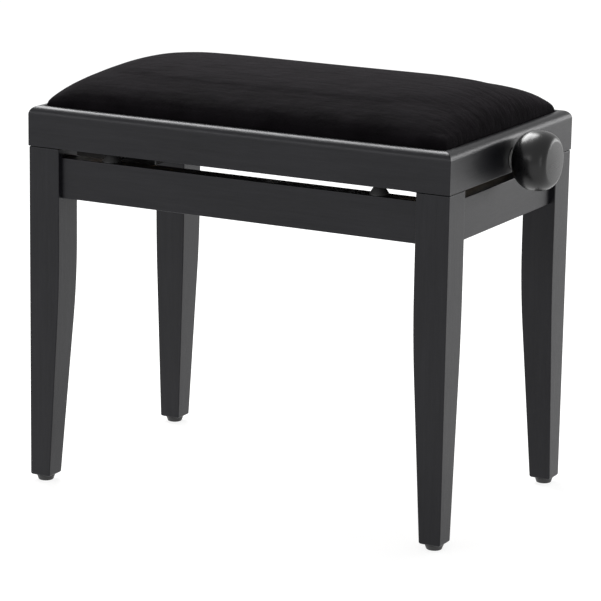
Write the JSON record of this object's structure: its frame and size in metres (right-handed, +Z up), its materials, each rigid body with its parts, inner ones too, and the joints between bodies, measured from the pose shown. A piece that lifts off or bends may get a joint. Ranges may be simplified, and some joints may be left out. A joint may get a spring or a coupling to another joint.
{
  "type": "piano bench",
  "caption": "Height-adjustable piano bench: padded velvet seat in a mitred black frame on tapered legs, raised by a side knob, threaded spindle and scissor linkage.",
  "frame": {"origin": "on the floor, under the middle of the bench's footprint with the knob included; the seat frame's own middle is 26 mm nearer the far end", "axes": "+Z up, +X along the bench towards the knob, +Y towards the back"},
  "size_m": [0.608, 0.3356, 0.506],
  "materials": {
    "black_lacquer": "satin black lacquer on hardwood",
    "black_velvet": "short-pile black velvet",
    "foam": "open-cell seat foam",
    "plywood": "raw birch plywood",
    "beech": "raw planed beech",
    "black_steel": "black powder coat on pressed steel",
    "zinc_steel": "bright zinc plate",
    "knob_plastic": "satin black moulded plastic",
    "foot_plastic": "moulded black plastic",
    "rubber": "moulded black rubber"
  },
  "bodies": {
    "base": {"leg_front_left": "black_lacquer", "glide_front_left": "foot_plastic", "corner_block_front_left": "beech", "leg_bolt_front_left": "zinc_steel", "leg_front_right": "black_lacquer", "glide_front_right": "foot_plastic", "corner_block_front_right": "beech", "leg_bolt_front_right": "zinc_steel", "leg_rear_left": "black_lacquer", "glide_rear_left": "foot_plastic", "corner_block_rear_left": "beech", "leg_bolt_rear_left": "zinc_steel", "leg_rear_right": "black_lacquer", "glide_rear_right": "foot_plastic", "corner_block_rear_right": "beech", "leg_bolt_rear_right": "zinc_steel", "apron_front": "black_lacquer", "apron_rear": "black_lacquer", "apron_left": "black_lacquer", "apron_right": "black_lacquer", "rubber_buffer_front_left": "rubber", "rubber_buffer_front_right": "rubber", "rubber_buffer_rear_left": "rubber", "rubber_buffer_rear_right": "rubber", "lower_rail_front": "black_steel", "lower_rail_screw_front_left": "zinc_steel", "lower_rail_screw_front_right": "zinc_steel", "lower_rail_rear": "black_steel", "lower_rail_screw_rear_left": "zinc_steel", "lower_rail_screw_rear_right": "zinc_steel", "fixed_lower_rod": "zinc_steel"},
    "seat": {"seat_rail_front": "black_lacquer", "seat_rail_rear": "black_lacquer", "seat_rail_left": "black_lacquer", "seat_rail_right": "black_lacquer", "seat_board": "plywood", "foam_pad": "foam", "velvet_cover": "black_velvet", "upper_rail_front": "black_steel", "upper_rail_screw_front_left": "zinc_steel", "upper_rail_screw_front_right": "zinc_steel", "upper_pivot_pin_front": "zinc_steel", "upper_rail_rear": "black_steel", "upper_rail_screw_rear_left": "zinc_steel", "upper_rail_screw_rear_right": "zinc_steel", "upper_pivot_pin_rear": "zinc_steel", "spindle_bearing_plate": "black_steel"},
    "spindle": {"threaded_spindle": "zinc_steel", "spindle_collar": "zinc_steel", "thrust_washer": "zinc_steel", "knob": "knob_plastic"},
    "outer_arms": {"outer_arm_front": "black_steel", "centre_pin_front": "zinc_steel", "outer_arm_rear": "black_steel", "centre_pin_rear": "zinc_steel"},
    "inner_arms": {"inner_arm_front": "black_steel", "inner_arm_rear": "black_steel", "lower_slide_rod": "zinc_steel"},
    "nut": {"spindle_nut": "zinc_steel"}
  },
  "joints": [
    {"name": "seat_lift", "type": "slide", "parent": "base", "child": "seat", "axis": [0, 0, 1], "range_m": [0, 0.1]},
    {"name": "knob_turn", "type": "hinge", "parent": "seat", "child": "spindle", "pos_m": [-0.02645, 0, 0.4307], "axis": [1, 0, 0], "range_deg": [-3363, 0]},
    {"name": "outer_arms_swing", "type": "hinge", "parent": "base", "child": "outer_arms", "pos_m": [0.19355, 0, 0.4067], "axis": [0, 1, 0], "range_deg": [0, 14.42]},
    {"name": "inner_arms_swing", "type": "hinge", "parent": "seat", "child": "inner_arms", "pos_m": [0.19355, 0, 0.4307], "axis": [0, -1, 0], "range_deg": [0, 14.42]},
    {"name": "nut_level", "type": "hinge", "parent": "outer_arms", "child": "nut", "pos_m": [-0.21245, 0, 0.4307], "axis": [0, -1, 0], "range_deg": [0, 14.42]}
  ],
  "couplings": [
    {"joint": "knob_turn", "follows": "seat_lift", "rad_per_m": -586.07},
    {"joint": "outer_arms_swing", "follows": "seat_lift", "rad_per_m": 2.5077},
    {"joint": "inner_arms_swing", "follows": "seat_lift", "rad_per_m": 2.5077},
    {"joint": "nut_level", "follows": "seat_lift", "rad_per_m": 2.5077}
  ]
}
